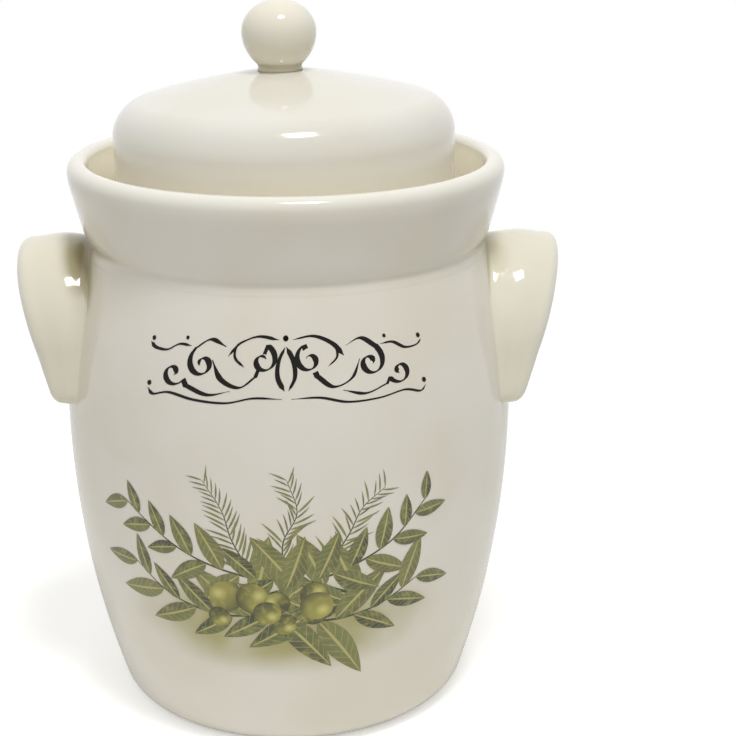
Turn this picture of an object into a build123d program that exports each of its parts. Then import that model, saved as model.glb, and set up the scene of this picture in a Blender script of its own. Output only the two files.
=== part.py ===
from build123d import *
import os

# A stoneware crock with a water seal, for fermenting pickles. Millimetres, +Z up.
# The origin is on the jar's axis, on the face that it rests on. The ear handles are along X.

# Barrel
belly_bulge = 14.0
belly_height = 143.0
wall = 8.0
foot_draw_in = 23.4
foot_turn = 14.0
foot_ring_width = 9.0
foot_recess = 3.0
floor_thickness = 9.0
corner_coil = 8.0

# Throat ring: the shoulder ledge, which is also the floor of the water channel, and the inner neck
ledge_height = 222.5
ledge_thickness = 9.0
neck_bore_radius = 62.0
neck_wall = 6.5
neck_rise = 27.0
neck_root = 2.5
neck_lip_share = 0.45

# The lid's skirt stands over the neck, and the water channel runs round the skirt
skirt_clearance = 3.5
skirt_wall = 6.0
channel_gap = 6.0

# Flared collar, its lip rounded wide outside and tight inside
collar_height = 38.2
collar_flare = 9.0
collar_foot_width = 7.0
lip_width = 9.0
lip_outer_round = 5.4
flare_turn_inset = 0.8
flare_turn_drop = 6.2
flare_foot_overhang = 3.2
flare_foot_rise = 7.0
channel_batter = 5.0

# Lid
skirt_height = 48.0
skirt_foot_round = 1.5
vent_radius = 5.0
shoulder_inset = 11.5
shoulder_rise = 16.5
dome_rise = 11.8
dome_crown = 1.0
dome_thickness = 7.0

# Knob
knob_seat_radius = 10.4
knob_neck_radius = 9.7
knob_neck_rise = 2.4
knob_radius = 16.9
knob_middle_rise = 17.2
knob_top_rise = 14.3
crown_oval_share = 0.55

# Ear handles: a strip bent to a horseshoe, standing off the wall at its crown and running into it at its toes
ear_half_width = 44.0
ear_height = 74.0
ear_crown_rise = 2.0
ear_strip = 18.5
ear_face_strip = 12.7
ear_projection = 25.0
ear_toe_projection = 1.4
ear_root_depth = 19.0
ear_round_share = 0.47

# Two-piece weighting stone
weight_thickness = 18.0
weight_round = 3.0
weight_play = 1.6
weight_gap = 2.0
finger_hole_radius = 11.0
finger_hole_place = 31.0

# One overrun carries every cut clear past its faces
overrun = 5.0

# Across the mouth, from the neck's bore outwards
neck_radius = neck_bore_radius + neck_wall
skirt_bore_radius = neck_radius + skirt_clearance
skirt_radius = skirt_bore_radius + skirt_wall
channel_radius = skirt_radius + channel_gap
ledge_radius = channel_radius + collar_foot_width
collar_radius = ledge_radius + collar_flare
belly_radius = ledge_radius + belly_bulge
foot_wall_radius = belly_radius - foot_draw_in

# Up the axis, from the floor to the knob
floor_height = foot_recess + floor_thickness
ledge_underside = ledge_height - ledge_thickness
neck_top = ledge_height + neck_rise
lip_top = ledge_height + collar_height
skirt_top = ledge_height + skirt_height
dome_edge_height = skirt_top + shoulder_rise
knob_seat_height = dome_edge_height + dome_rise

os.makedirs("parts", exist_ok=True)


def barrel_wall(inset, top_radius, top_height, low_radius, low_height):
    """The barrel's bulging wall, two arcs that run upright where they meet at the belly."""
    belly = (belly_radius - inset, belly_height)
    TangentArc(belly, (top_radius, top_height), tangent=(0, 1))
    TangentArc(belly, (low_radius, low_height), tangent=(0, -1))


# The barrel as a filled form. The ears are trimmed to it, so they sit on the wall face to face.
with BuildPart() as barrel_blank:
    with BuildSketch(Plane.XZ) as barrel_half:
        with BuildLine():
            barrel_wall(0, ledge_radius, ledge_height, foot_wall_radius, 0)
            Polyline((foot_wall_radius, 0), (0, 0), (0, ledge_height), (ledge_radius, ledge_height))
        make_face()
        foot_corner = barrel_half.vertices().group_by(Axis.Y)[0].sort_by(Axis.X)[-1]
        fillet(foot_corner, foot_turn)
    revolve(axis=Axis.Z)

# The base is a slab, recessed underneath so that it stands on a foot ring
with BuildPart() as jar_base:
    add(barrel_blank.part)
    split(bisect_by=Plane.XY.offset(floor_height), keep=Keep.BOTTOM)
    with BuildSketch(Plane.XY):
        Circle(foot_wall_radius - foot_turn - foot_ring_width)
    extrude(amount=foot_recess, mode=Mode.SUBTRACT)
jar_base.part.label = "jar_base"
export_step(jar_base.part, "parts/jar_base.step")

# The barrel's wall is luted on the base, with a coil of clay pressed flat into the corner inside.
# Its mouth ends under the ledge.
with BuildPart() as jar_body:
    add(barrel_blank.part)
    split(bisect_by=Plane.XY.offset(ledge_underside), keep=Keep.BOTTOM)
    split(bisect_by=Plane.XY.offset(floor_height), keep=Keep.TOP)
    with BuildSketch(Plane.XZ) as hollow_half:
        with BuildLine():
            mouth_radius = ledge_radius - wall
            barrel_wall(wall, mouth_radius, ledge_underside, foot_wall_radius - wall, floor_height)
            Polyline(
                (mouth_radius, ledge_underside),
                (mouth_radius, ledge_underside + overrun),
                (0, ledge_underside + overrun),
                (0, floor_height),
                (foot_wall_radius - wall, floor_height),
            )
        make_face()
        floor_edge = hollow_half.vertices().group_by(Axis.Y)[0].sort_by(Axis.X)[-1]
        chamfer(floor_edge, corner_coil)
    revolve(axis=Axis.Z, mode=Mode.SUBTRACT)
jar_body.part.label = "jar_body"
export_step(jar_body.part, "parts/jar_body.step")

# The throat ring is luted on the barrel's mouth. It is the ledge that closes the shoulder, and the neck on it.
with BuildPart() as throat_ring:
    with BuildSketch(Plane.XZ) as throat_half:
        add(barrel_half.sketch_local)
        with Locations((neck_bore_radius, ledge_underside)):
            from_inner_corner = (Align.MIN, Align.MIN)
            Rectangle(belly_radius, ledge_thickness, align=from_inner_corner, mode=Mode.INTERSECT)
            Rectangle(neck_wall, ledge_thickness + neck_rise, align=from_inner_corner)
        fillet(throat_half.vertices().group_by(Axis.Y)[-1], neck_wall * neck_lip_share)
        fillet(throat_half.vertices().group_by(Axis.Y)[1].sort_by(Axis.X)[0], neck_root)
    revolve(axis=Axis.Z)
throat_ring.part.label = "throat_ring"
export_step(throat_ring.part, "parts/throat_ring.step")

# The collar is luted on the ledge. It flares to a round lip, and its inside is the channel's outer wall.
lip_inner_round = lip_width - lip_outer_round
with BuildPart() as channel_collar:
    with BuildSketch(Plane.XZ):
        with BuildLine():
            lip_outer = (collar_radius, lip_top - lip_outer_round)
            lip_crest = (collar_radius - lip_outer_round, lip_top)
            lip_inner = (collar_radius - lip_width, lip_top - lip_inner_round)
            flare_turn = (collar_radius - flare_turn_inset, lip_top - lip_outer_round - flare_turn_drop)
            flare_foot = (ledge_radius + flare_foot_overhang, ledge_height + flare_foot_rise)
            TangentArc(lip_outer, lip_crest, tangent=(0, 1))
            TangentArc(lip_crest, lip_inner, tangent=(-1, 0))
            TangentArc(lip_outer, flare_turn, tangent=(0, -1))
            flare = Line(flare_turn, flare_foot)
            TangentArc(flare_foot, (ledge_radius, ledge_height), tangent=(flare % 1))
            Polyline(
                lip_inner,
                (channel_radius, ledge_height + channel_batter),
                (channel_radius, ledge_height),
                (ledge_radius, ledge_height),
            )
        make_face()
    revolve(axis=Axis.Z)
channel_collar.part.label = "channel_collar"
export_step(channel_collar.part, "parts/channel_collar.step")

# The right ear: the horseshoe seen from the side, cut to its reach seen from the front.
# Its strip narrows from the root, inside the wall, to just past the face.
ear_crown_height = ledge_height + ear_crown_rise
ear_bend_height = ear_crown_height - ear_half_width
ear_leg_place = ear_half_width - ear_strip / 2
ear_toe_bend_height = ear_crown_height - ear_height + ear_strip / 2
ear_reach = belly_radius + ear_projection
ear_toe_reach = belly_radius + ear_toe_projection
ear_root_reach = belly_radius - ear_root_depth
with BuildPart() as handle_right:
    for reach, strip in ((ear_root_reach, ear_strip), (ear_reach + overrun, ear_face_strip)):
        with BuildSketch(Plane.YZ.offset(reach)):
            with BuildLine():
                outer_half = ear_leg_place + strip / 2
                inner_half = ear_leg_place - strip / 2
                for half in (outer_half, inner_half):
                    bend_top = (0, ear_bend_height + half)
                    ThreePointArc((-half, ear_bend_height), bend_top, (half, ear_bend_height))
                for side in (-1, 1):
                    outer_toe = (side * outer_half, ear_toe_bend_height)
                    inner_toe = (side * inner_half, ear_toe_bend_height)
                    toe_tip = (side * ear_leg_place, ear_toe_bend_height - strip / 2)
                    Line((side * outer_half, ear_bend_height), outer_toe)
                    ThreePointArc(outer_toe, toe_tip, inner_toe)
                    Line(inner_toe, (side * inner_half, ear_bend_height))
            make_face()
    loft(ruled=True)
    slant = Vector(ear_reach - ear_toe_reach, 0, ear_height).normalized()
    outer_face = Plane(
        origin=(ear_reach, 0, ear_crown_height), x_dir=(0, 1, 0), z_dir=Vector(0, 1, 0).cross(slant)
    )
    split(bisect_by=outer_face, keep=Keep.BOTTOM)
    fillet(handle_right.faces().sort_by(Axis.X)[-1].edges(), ear_face_strip * ear_round_share)
    add(barrel_blank.part, mode=Mode.SUBTRACT)
    add(channel_collar.part, mode=Mode.SUBTRACT)
handle_right.part.label = "handle_right"
export_step(handle_right.part, "parts/handle_right.step")

with BuildPart() as handle_left:
    mirror(handle_right.part, about=Plane.YZ)
handle_left.part.label = "handle_left"
export_step(handle_left.part, "parts/handle_left.step")

# The lid stands on the channel floor. Its skirt has two arched vents, where gas bubbles out through the water.
dome_edge_radius = skirt_radius - shoulder_inset
with BuildPart() as lid:
    with BuildSketch(Plane.XZ) as lid_half:
        with BuildLine():
            outer_edge = (dome_edge_radius, dome_edge_height)
            outer_wall_top = (skirt_radius, skirt_top)
            inner_edge = (dome_edge_radius - skirt_wall, dome_edge_height - dome_thickness)
            inner_wall_top = (skirt_bore_radius, skirt_top - dome_thickness)
            dome_top = (knob_seat_radius, knob_seat_height)
            dome_middle = (
                (knob_seat_radius + dome_edge_radius) / 2,
                (knob_seat_height + dome_edge_height) / 2 + dome_crown,
            )
            Line((0, knob_seat_height), dome_top)
            ThreePointArc(dome_top, dome_middle, outer_edge)
            TangentArc(outer_wall_top, outer_edge, tangent=(0, 1))
            Line(outer_wall_top, (skirt_radius, ledge_height))
            Line((skirt_radius, ledge_height), (skirt_bore_radius, ledge_height))
            Line((skirt_bore_radius, ledge_height), inner_wall_top)
            TangentArc(inner_wall_top, inner_edge, tangent=(0, 1))
            Line(inner_edge, (0, knob_seat_height - dome_thickness))
            Line((0, knob_seat_height - dome_thickness), (0, knob_seat_height))
        make_face()
        fillet(lid_half.vertices().group_by(Axis.Y)[0], skirt_foot_round)
    revolve(axis=Axis.Z)
    with BuildSketch(Plane.YZ.offset(-skirt_radius - overrun)):
        with Locations((0, ledge_height)):
            Circle(vent_radius)
    extrude(amount=2 * (skirt_radius + overrun), mode=Mode.SUBTRACT)
lid.part.label = "lid"
export_step(lid.part, "parts/lid.step")

# The knob is a ball, flatter above its middle and drawn down below it to a short neck
knob_middle_height = knob_seat_height + knob_middle_rise
with BuildPart() as lid_knob:
    with BuildSketch(Plane.XZ):
        with BuildLine():
            knob_top = knob_middle_height + knob_top_rise
            ball_side = (knob_radius, knob_middle_height)
            neck_turn = (knob_neck_radius, knob_seat_height + knob_neck_rise)
            Bezier(
                ball_side,
                (knob_radius, knob_middle_height + knob_top_rise * crown_oval_share),
                (knob_radius * crown_oval_share, knob_top),
                (0, knob_top),
            )
            TangentArc(ball_side, neck_turn, tangent=(0, -1))
            Polyline(
                neck_turn, (knob_seat_radius, knob_seat_height), (0, knob_seat_height), (0, knob_top)
            )
        make_face()
    revolve(axis=Axis.Z)
lid_knob.part.label = "lid_knob"
export_step(lid_knob.part, "parts/lid_knob.step")

# The weighting stone is two half moons, which pass the neck on edge one after the other.
# Their flat undersides stay inside the flat of the floor.
weight_radius = foot_wall_radius - wall - corner_coil - weight_play + weight_round
with BuildPart() as weight_half_right:
    with BuildSketch(Plane.XY.offset(floor_height)) as half_moon:
        Circle(weight_radius)
        with Locations((weight_gap / 2 - weight_radius, 0)):
            Rectangle(2 * weight_radius, 2 * weight_radius, mode=Mode.SUBTRACT)
        with Locations((finger_hole_place, 0)):
            Circle(finger_hole_radius, mode=Mode.SUBTRACT)
    extrude(amount=weight_thickness)
    fillet(weight_half_right.faces().sort_by(Axis.Z)[-1].edges(), weight_round)
    fillet(weight_half_right.faces().sort_by(Axis.Z)[0].outer_wire().edges(), weight_round)
weight_half_right.part.label = "weight_half_right"
export_step(weight_half_right.part, "parts/weight_half_right.step")

with BuildPart() as weight_half_left:
    mirror(weight_half_right.part, about=Plane.YZ)
weight_half_left.part.label = "weight_half_left"
export_step(weight_half_left.part, "parts/weight_half_left.step")
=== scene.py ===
import math

import bmesh
import bpy
import numpy as np
from mathutils import Matrix, Vector


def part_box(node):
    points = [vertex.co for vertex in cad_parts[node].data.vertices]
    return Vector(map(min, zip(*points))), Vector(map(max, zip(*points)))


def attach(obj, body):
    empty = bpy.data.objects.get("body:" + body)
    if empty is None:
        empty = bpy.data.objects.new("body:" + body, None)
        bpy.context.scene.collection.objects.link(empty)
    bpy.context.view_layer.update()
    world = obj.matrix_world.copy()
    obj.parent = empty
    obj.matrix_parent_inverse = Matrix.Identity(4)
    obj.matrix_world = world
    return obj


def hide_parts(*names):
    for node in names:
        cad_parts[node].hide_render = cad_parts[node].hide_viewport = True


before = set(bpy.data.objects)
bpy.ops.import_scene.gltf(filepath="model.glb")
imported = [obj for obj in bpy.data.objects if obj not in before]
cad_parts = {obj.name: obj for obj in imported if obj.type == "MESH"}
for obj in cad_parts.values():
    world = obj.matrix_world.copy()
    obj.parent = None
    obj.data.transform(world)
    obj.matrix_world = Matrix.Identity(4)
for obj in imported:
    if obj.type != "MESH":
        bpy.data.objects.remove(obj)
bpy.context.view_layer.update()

# A glazed stoneware crock with a water seal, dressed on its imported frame. Metres, +Z up, the ears along X.
# Outlines are written in millimetres, as (radius, height), and become metres in the mesh.
MM = 0.001
AROUND = 256
# A line's long steps are divided into steps no longer than this. The crock's are longer, to save triangles.
LONGEST_STEP = 2.2
CROCK_LONGEST_STEP = 3.0
# The thrown wall is nowhere more than twice this share short of round
BARREL_STRAY_SHARE = 0.001
BARREL_PHASE = 2.9
# A hair's breadth in millimetres, which tells two heights apart
HAIR = 0.1

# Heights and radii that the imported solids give
jar_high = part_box("jar_body")[1]
throat_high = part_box("throat_ring")[1]
collar_low, collar_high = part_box("channel_collar")
lid_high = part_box("lid")[1]
knob_low, knob_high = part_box("lid_knob")
ear_low, ear_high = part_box("handle_right")

belly_radius = jar_high.x / MM
neck_top = throat_high.z / MM
ledge = collar_low.z / MM
collar_radius = collar_high.x / MM
lip_top = collar_high.z / MM
skirt_radius = lid_high.x / MM
knob_seat = knob_low.z / MM
knob_top = knob_high.z / MM
knob_radius = knob_high.x / MM
ear_foot = ear_low.z / MM
ear_top = ear_high.z / MM
ear_reach = ear_high.x / MM

# Barrel, as thrown
belly_height = 143.0
ledge_inset = 14.0
foot_inset = 23.4
wall = 8.0
foot_turn = 14.0
foot_ring = 9.0
foot_recess = 3.0
recess_round = 1.0
ring_edge_round = 0.8
floor_height = 12.0
floor_cove = 8.0
ledge_thickness = 9.0
shoulder_cove = 12.0
neck_radius = 68.5
neck_bore = 62.0
neck_root = 2.5
neck_lip = 2.9
ledge_radius = belly_radius - ledge_inset
foot_wall_radius = belly_radius - foot_inset
ring_inner = foot_wall_radius - foot_turn - foot_ring
ledge_underside = ledge - ledge_thickness

# Collar, with the luting that is smoothed down the barrel
lip_width = 9.0
lip_outer_round = 5.4
flare_turn_inset = 0.8
flare_turn_drop = 6.2
flare_foot_out = 3.2
flare_foot_rise = 7.0
channel_radius = 84.0
channel_batter = 5.0
channel_floor_round = 4.0
luting_round = 3.4
luting_depth = 6.5
luting_proud = 0.06
luting_bite = 0.4
flare_turn = (collar_radius - flare_turn_inset, lip_top - lip_outer_round - flare_turn_drop)
flare_foot = (ledge_radius + flare_foot_out, ledge + flare_foot_rise)

# Lid and knob
skirt_bore = 72.0
skirt_rise = 48.0
skirt_foot_round = 1.5
shoulder_inset = 11.5
shoulder_rise = 16.5
shoulder_wall = 6.0
dome_blend = 20.0
dome_thickness = 7.0
dome_crown = 1.0
vent_radius = 5.0
knob_seat_radius = 10.4
knob_neck_radius = 9.7
knob_neck_rise = 2.4
knob_neck_hollow = 2.0
knob_middle_rise = 17.2
crown_oval_share = 0.55
skirt_top = ledge + skirt_rise
dome_edge = (skirt_radius - shoulder_inset, skirt_top + shoulder_rise)
knob_middle = knob_seat + knob_middle_rise
# The lid was set down a little askew. The lean is in degrees, and takes the knob aside.
lid_lean = 1.0
knob_aside = 1.0

# Ears, a strip bent to a horseshoe
ear_leg_place = 34.75
ear_bend_height = 180.5
ear_toe_bend_height = 159.75
ear_toe_reach = 106.6
ear_half = 6.6
ear_draft_share = 0.0625
ear_droop_share = 0.7
ear_root_fillet = 3.2
ear_root_thinner_share = 0.75
ear_root_bite = 1.5
ear_side_start = 3.3
ear_side_least = 0.3
ear_full_dome = 25.0
# A hand eases the strip's edge along its run, and rubs it rounder over the bend than at the toes
ear_edge_ease = 5.0
ear_face_round = 6.2
toe_sharper = 2.4
toe_sharper_below = 174.0
toe_sharper_blend = 14.0

# Slip and glaze: where the painted fill light fades on the lip and the lid, and where brown, partly glaze
# that gathers and partly painted shade, lies by the left ear on the wall and on the ear itself. The foot is
# wiped bare up to the last height.
lip_light_blend = 3.6
shoulder_light_rise = 9.0
shoulder_light_blend = 10.0
skirt_light_share = 0.6
knob_light_share = 0.3
collar_pool_and_shade_share = 0.45
brown_from = 192.0
brown_blend = 14.0
brown_reach = 6.0
brown_inside = -6.0
brown_outside = 12.0
brown_depth = 2.2
ear_brown_from = 200.0
ear_brown_blend = 18.0
ear_brown_reach = 9.5
ear_brown_depth = 3.4
right_ear_brown_share = 0.3
ear_thin_glaze_and_sheen = 0.7
bare_foot_height = 0.6


def unit(v):
    return v / np.linalg.norm(v)


def hump(value, middle, width):
    """1 where value is at the middle, and about a third one width away."""
    return np.exp(-(((value - middle) / width) ** 2))


def rising(value, start, over):
    """0 up to start, and 1 past the stretch over."""
    return min(1.0, max(0.0, (value - start) / over))


def line(start, end):
    """A straight leg of an outline."""
    return np.linspace(start, end, 2)


def arc(start, heading, end, steps=24):
    """The arc that leaves start along heading and ends at end."""
    p, q, h = np.array(start, float), np.array(end, float), unit(np.array(heading, float))
    chord = q - p
    aside = h[0] * chord[1] - h[1] * chord[0]
    centre = p + np.array((-h[1], h[0])) * (chord @ chord) / (2 * aside)
    turns = np.linspace(0, 2 * math.atan2(aside, h @ chord), steps + 1)
    spoke = p - centre
    x = centre[0] + np.cos(turns) * spoke[0] - np.sin(turns) * spoke[1]
    y = centre[1] + np.sin(turns) * spoke[0] + np.cos(turns) * spoke[1]
    return np.stack((x, y), 1)


def run_of(points):
    """How far along the line each of its points is."""
    return np.concatenate(((0,), np.cumsum(np.linalg.norm(np.diff(points, axis=0), axis=1))))


def trimmed(leg, amount):
    """The leg without its first stretch of that length."""
    run = run_of(leg)
    first = np.array([np.interp(amount, run, leg[:, k]) for k in (0, 1)])
    return np.vstack((first, leg[run > amount + 1e-6]))


def drawn_curve(start, start_pull, end_pull, end, steps):
    """The smooth curve from start to end that leaves and arrives along the two pulls."""
    t = np.linspace(0, 1, steps + 1)[:, None]
    first = start * (1 - t) ** 3 + 3 * start_pull * t * (1 - t) ** 2
    return first + 3 * end_pull * t**2 * (1 - t) + end * t**3


def joined(first, second, radius, steps=10):
    """Two legs as one, the corner between them rounded."""
    if radius == 0:
        return np.vstack((first, second[1:]))
    before, after = unit(first[-1] - first[-2]), unit(second[1] - second[0])
    turn = math.acos(max(-1.0, min(1.0, before @ after)))
    back = trimmed(first[::-1], radius * math.tan(turn / 2))[::-1]
    ahead = trimmed(second, radius * math.tan(turn / 2))
    before, after = unit(back[-1] - back[-2]), unit(ahead[1] - ahead[0])
    reach = 4 / 3 * math.tan(turn / 4) * radius
    curve = drawn_curve(back[-1], back[-1] + before * reach, ahead[0] - after * reach, ahead[0], steps)
    return np.vstack((back, curve[1:-1], ahead))


def outline(points, *rest):
    """A first leg, then pairs of a corner's radius and the leg after it, as one line of points.

    A bare point stands for the straight leg that ends at it.
    """
    corner = points[-1]
    for radius, leg in rest:
        if isinstance(leg, tuple):
            leg = line(corner, leg)
        corner = leg[-1]
        points = joined(points, leg, radius)
    return points


def evened(points, longest):
    """The same line with its long steps divided."""
    parts = [points[:1]]
    for p, q in zip(points[:-1], points[1:]):
        parts.append(np.linspace(p, q, max(1, math.ceil(np.linalg.norm(q - p) / longest)) + 1)[1:])
    return np.vstack(parts)


def pooling_and_shade(points, seam, spread=3.0):
    """How far glaze gathers along an outline, with painted shade in its hollows: above 0 in a hollow, below 0
    on an edge, 0 at a hidden seam.
    """
    run = run_of(points)
    heading = np.unwrap(np.arctan2(*np.diff(points, axis=0).T[::-1]))
    bend = np.zeros(len(points))
    bend[1:-1] = np.diff(heading)
    bend[np.abs(points[:, 1] - seam) < HAIR / 2] = 0
    near = hump(run[:, None] - run[None, :], 0, spread)
    return -(near * bend[None, :]).sum(1)


def linked(name, data):
    """An object in the scene that shows the mesh, light or camera."""
    made = bpy.data.objects.new(name, data)
    bpy.context.scene.collection.objects.link(made)
    return made


def mesh_piece(name, verts, faces, **values):
    """A piece of the object, from points in millimetres, with outward faces and smooth shading."""
    mesh = bpy.data.meshes.new(name)
    mesh.from_pydata((np.asarray(verts) * MM).tolist(), [], faces)
    for key, value in values.items():
        attribute = mesh.attributes.new(key, "FLOAT", "POINT")
        attribute.data.foreach_set("value", np.asarray(value, np.float32))
    bm = bmesh.new()
    bm.from_mesh(mesh)
    bmesh.ops.remove_doubles(bm, verts=bm.verts, dist=1e-6)
    bmesh.ops.recalc_face_normals(bm, faces=bm.faces)
    bm.to_mesh(mesh)
    bm.free()
    mesh.shade_smooth()
    return linked(name, mesh)


def stray_at(angles):
    """The share of its radius that the thrown wall keeps at each angle."""
    return 1 - BARREL_STRAY_SHARE * (1 + np.cos(2 * angles + BARREL_PHASE))


def turned(name, points, closed=False, thrown=False, gather_and_shade=1.0, thick=None, seam=-1.0, longest=LONGEST_STEP):
    """An outline turned about the jar's axis. A thrown wall isn't quite round. Thick gives the share of
    painted fill light, a paler colour for places in shade.
    """
    points = evened(points, longest)
    # Hollows darken, partly as glaze that gathers and partly as painted shade
    pool = pooling_and_shade(points, seam)
    pool = np.where(pool > 0, gather_and_shade * pool, pool)
    # Painted fill light: a paler colour that stands in for light reaching shaded places
    coat = np.zeros(len(points)) if thick is None else thick(points)
    rings = len(points)
    angles = np.linspace(0, 2 * math.pi, AROUND, endpoint=False)
    stray = stray_at(angles) if thrown else np.ones(AROUND)
    x, y = stray * np.cos(angles), stray * np.sin(angles)
    verts = [np.stack((r * x, r * y, np.full(AROUND, z)), 1) for r, z in points]
    index = np.arange(rings * AROUND).reshape(rings, AROUND)
    faces = []
    for i in range(rings if closed else rings - 1):
        a, b = index[i], index[(i + 1) % rings]
        faces += np.stack((a, np.roll(a, -1), np.roll(b, -1), b), 1).tolist()
    pool, coat = np.repeat(pool, AROUND), np.repeat(coat, AROUND)
    return mesh_piece(name, np.vstack(verts), faces, glaze_pool=pool, glaze_coat=coat)


# The jar's outlines

belly, belly_inside = (belly_radius, belly_height), (belly_radius - wall, belly_height)
barrel_upper = arc(belly, (0, 1), (ledge_radius, ledge), steps=48)
barrel_lower = arc(belly, (0, -1), (foot_wall_radius, 0), steps=72)
barrel_line = np.vstack((barrel_lower[::-1], barrel_upper[1:]))
inside_upper = arc(belly_inside, (0, 1), (ledge_radius - wall, ledge_underside), steps=40)
inside_lower = arc(belly_inside, (0, -1), (foot_wall_radius - wall, floor_height), steps=60)


def jar_outline():
    """From the middle of the base, up outside, over the ledge and neck, and down inside to the floor."""
    inside = np.vstack((inside_upper[::-1], inside_lower[1:]))
    return outline(
        line((0, foot_recess), (ring_inner, foot_recess)),
        (recess_round, (ring_inner, 0)),
        (ring_edge_round, (foot_wall_radius, 0)),
        (foot_turn, barrel_line),
        (0, (neck_radius, ledge)),
        (neck_root, (neck_radius, neck_top)),
        (neck_lip, (neck_bore, neck_top)),
        (neck_lip, (neck_bore, ledge_underside)),
        (neck_root, (ledge_radius - wall, ledge_underside)),
        (shoulder_cove, inside),
        (floor_cove, (0, floor_height)),
    )


def collar_outline():
    """Up the outside of the collar, over its lip and down to the channel's floor."""
    lip_side = lip_top - lip_outer_round
    lip_outer = (collar_radius, lip_side)
    crest = (collar_radius - lip_outer_round, lip_top)
    lip_inner = (collar_radius - lip_width, lip_top - (lip_width - lip_outer_round))
    foot = arc(flare_foot, np.array(flare_foot) - np.array(flare_turn), (ledge_radius, ledge), steps=10)[::-1]
    luting = barrel_upper[barrel_upper[:, 1] > ledge - luting_depth] + (luting_proud, 0)
    luting[0, 0] -= luting_bite
    return outline(
        luting,
        (luting_round, foot),
        (0, flare_turn),
        (0, arc(lip_outer, (0, -1), flare_turn, steps=8)[::-1]),
        (0, arc(lip_outer, (0, 1), crest, steps=12)),
        (0, arc(crest, (-1, 0), lip_inner, steps=10)),
        (0, (channel_radius, ledge + channel_batter)),
        (channel_floor_round, (channel_radius, ledge)),
        (0, (ledge_radius, ledge)),
    )


def bowed(start, end, crown, steps=24):
    """The arc between two points that rises by crown above their middle."""
    p, q = np.array(start, float), np.array(end, float)
    turn = 2 * math.atan(2 * crown / np.linalg.norm(q - p))
    d = unit(q - p)
    heading = (d[0] * math.cos(turn) - d[1] * math.sin(turn), d[0] * math.sin(turn) + d[1] * math.cos(turn))
    return arc(start, heading, end, steps)


def lid_outline():
    """From the middle of the dome down the skirt, and up inside to the middle of the underside."""
    under_edge = (dome_edge[0] - shoulder_wall, dome_edge[1] - dome_thickness)
    under = skirt_top - dome_thickness
    return outline(
        line((0, knob_seat), (knob_seat_radius, knob_seat)),
        (0, bowed((knob_seat_radius, knob_seat), dome_edge, dome_crown)),
        (dome_blend, arc((skirt_radius, skirt_top), (0, 1), dome_edge)[::-1]),
        (0, (skirt_radius, ledge)),
        (skirt_foot_round, (skirt_bore, ledge)),
        (skirt_foot_round, (skirt_bore, under)),
        (0, arc((skirt_bore, under), (0, 1), under_edge)),
        (0, (0, knob_seat - dome_thickness)),
    )


def knob_outline():
    """The knob from its seat, out over the ball and up to the crown."""
    side, top = np.array((knob_radius, knob_middle)), np.array((0, knob_top))
    rise = np.array((knob_radius, knob_middle + (knob_top - knob_middle) * crown_oval_share))
    draw = np.array((knob_radius * crown_oval_share, knob_top))
    neck = (knob_neck_radius, knob_seat + knob_neck_rise)
    return outline(
        line((0, knob_seat), (knob_seat_radius, knob_seat)),
        (0, neck),
        (knob_neck_hollow, arc(side, (0, -1), neck)[::-1]),
        (0, drawn_curve(side, rise, draw, top, steps=24)),
    )


def lean(piece, degrees, low, high, aside=0.0):
    """A hand-set lid leans a little. Its foot stays flat, and the lean grows from low up to high."""
    slope = math.tan(math.radians(degrees))
    for v in piece.data.vertices:
        x, z = v.co.x / MM, v.co.z / MM
        share = rising(z, low, high - low)
        share = share * share * (3 - 2 * share)
        v.co.z += x * slope * share * MM
        v.co.x -= ((z - low) * slope * share + aside) * MM


def cut(piece, tool):
    """Takes the tool's shape out of the piece."""
    change = piece.modifiers.new("cut", "BOOLEAN")
    change.operation = "DIFFERENCE"
    change.solver = "EXACT"
    change.object = tool
    bpy.context.view_layer.update()
    result = bpy.data.meshes.new_from_object(piece.evaluated_get(bpy.context.evaluated_depsgraph_get()))
    piece.modifiers.clear()
    piece.data = result
    bpy.data.objects.remove(tool)


def vent_tool():
    """The round bar that leaves the two vent notches."""
    bpy.ops.mesh.primitive_cylinder_add(
        vertices=48, radius=vent_radius * MM, depth=4 * skirt_radius * MM, location=(0, 0, 0)
    )
    tool = bpy.context.object
    for v in tool.data.vertices:
        v.co = Vector((v.co.z, v.co.y, v.co.x + ledge * MM))
    return tool


def ear_loop():
    """Stations round the horseshoe strip: a point on its middle line and the way out to its edge."""
    bend, toe, leg = ear_bend_height, ear_toe_bend_height, ear_leg_place
    over = np.radians(np.linspace(0, 180, 61))
    ring = np.stack((np.cos(over), np.sin(over)), 1)
    round_toe = np.radians(np.linspace(180, 360, 25)[1:])
    toe_way = np.stack((np.cos(round_toe), np.sin(round_toe)), 1)

    def round_leg(place):
        down = [(np.array((place, z)), np.array((-1.0, 0))) for z in np.linspace(bend, toe, 9)[1:]]
        return down + [(np.array((place, toe)), d) for d in toe_way] + [(m, -way) for m, way in down[-2::-1]]

    stations = [((0, bend) + leg * d, d) for d in ring] + round_leg(-leg)
    stations += [((0, bend) + leg * d, -d) for d in ring[::-1]] + round_leg(leg)
    # A hand rounds the strip's edge, so its way out turns a little before and after each bend
    middles = np.array([m for m, _ in stations])
    ways = np.array([w for _, w in stations])
    edge = middles + ways * ear_half
    run = run_of(edge)
    length = run[-1] + np.linalg.norm(edge[0] - edge[-1])
    apart = np.abs(run[:, None] - run[None, :])
    weight = hump(np.minimum(apart, length - apart), 0, ear_edge_ease) * np.gradient(run)[None, :]
    return [(m, unit(w)) for m, w in zip(middles, weight @ ways)]


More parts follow.
